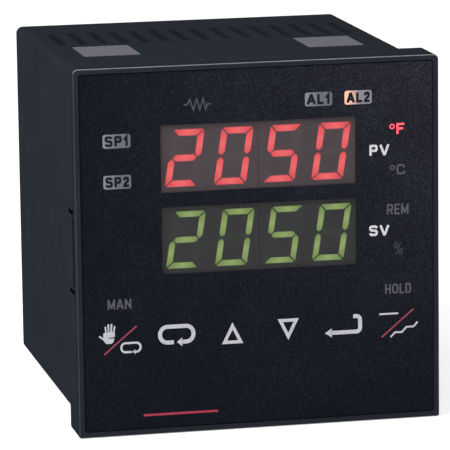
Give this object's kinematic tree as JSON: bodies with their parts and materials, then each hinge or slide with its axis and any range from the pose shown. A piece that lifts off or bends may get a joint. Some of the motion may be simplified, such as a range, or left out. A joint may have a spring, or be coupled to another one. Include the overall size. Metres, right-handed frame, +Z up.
{
  "type": "panel temperature controller",
  "caption": "Square panel-mounted temperature controller with two digital readings, a printed front film with touch keys, and a deep vented case with rear screw terminals.",
  "frame": {"origin": "under the middle of the whole, on the level of the bezel's lower edge", "axes": "+X right as seen from the front, +Y into the depth from face to rear, +Z up"},
  "size_m": [0.096, 0.1024, 0.096],
  "materials": {
    "housing_plastic": "fine moulded texture",
    "frame_plastic": "fine moulded texture",
    "film": "printed, finely textured",
    "window": "clear, slightly smoked",
    "module_plastic": "grey face paint",
    "lit_red": "emissive red",
    "lit_green": "emissive green",
    "dark_segment": "unlit diffused resin",
    "pad": "pale grey, finely grained",
    "black_rubber": "matt",
    "board_green": "solder mask over glass laminate",
    "black_plastic": "moulded",
    "lamp_resin": "diffused resin",
    "plated_steel": "zinc plated",
    "brass": "tinned in the contact zone",
    "core_steel": "laminated, varnished",
    "coil_wrap": "insulating tape",
    "relay_plastic": "moulded",
    "can": "sleeved can"
  },
  "bodies": {
    "housing": {"housing": "housing_plastic", "panel_gasket": "black_rubber", "rear_panel": "black_plastic", "terminal_block_left": "black_plastic", "terminal_block_right": "black_plastic", "wire_clamps": "plated_steel", "terminal_screws": "plated_steel", "rear_screws": "plated_steel", "contact_bars": "brass", "edge_connectors": "black_plastic", "top_pad_left": "pad", "top_pad_right": "pad"},
    "instrument": {"front_frame": "frame_plastic", "front_seal": "black_rubber", "front_film": "film", "pv_window": "window", "sv_window": "window", "pv_module_left": "module_plastic", "pv_module_right": "module_plastic", "sv_module_left": "module_plastic", "sv_module_right": "module_plastic", "pv_lit_segments": "lit_red", "sv_lit_segments": "lit_green", "pv_dark_segments": "dark_segment", "sv_dark_segments": "dark_segment", "display_board": "board_green", "power_board": "board_green", "logic_board": "board_green", "indicator_lights": "lamp_resin", "key_switches": "black_plastic", "board_screws": "plated_steel", "board_headers": "black_plastic", "board_spacer": "black_plastic", "transformer_core": "core_steel", "transformer_coil": "coil_wrap", "relays": "relay_plastic", "filter_capacitors": "can", "logic_chips": "black_plastic"},
    "key_manual": {"key_stem_manual": "black_plastic"},
    "key_loop": {"key_stem_loop": "black_plastic"},
    "key_up": {"key_stem_up": "black_plastic"},
    "key_down": {"key_stem_down": "black_plastic"},
    "key_enter": {"key_stem_enter": "black_plastic"},
    "key_ramp": {"key_stem_ramp": "black_plastic"}
  },
  "joints": [
    {"name": "instrument_slide", "type": "slide", "parent": "housing", "child": "instrument", "axis": [0, -1, 0], "range_m": [0, 0.095]},
    {"name": "key_manual_press", "type": "slide", "parent": "instrument", "child": "key_manual", "axis": [0, 1, 0], "range_m": [0, 0.00025], "stiffness_N_per_m": 2000},
    {"name": "key_loop_press", "type": "slide", "parent": "instrument", "child": "key_loop", "axis": [0, 1, 0], "range_m": [0, 0.00025], "stiffness_N_per_m": 2000},
    {"name": "key_up_press", "type": "slide", "parent": "instrument", "child": "key_up", "axis": [0, 1, 0], "range_m": [0, 0.00025], "stiffness_N_per_m": 2000},
    {"name": "key_down_press", "type": "slide", "parent": "instrument", "child": "key_down", "axis": [0, 1, 0], "range_m": [0, 0.00025], "stiffness_N_per_m": 2000},
    {"name": "key_enter_press", "type": "slide", "parent": "instrument", "child": "key_enter", "axis": [0, 1, 0], "range_m": [0, 0.00025], "stiffness_N_per_m": 2000},
    {"name": "key_ramp_press", "type": "slide", "parent": "instrument", "child": "key_ramp", "axis": [0, 1, 0], "range_m": [0, 0.00025], "stiffness_N_per_m": 2000}
  ]
}
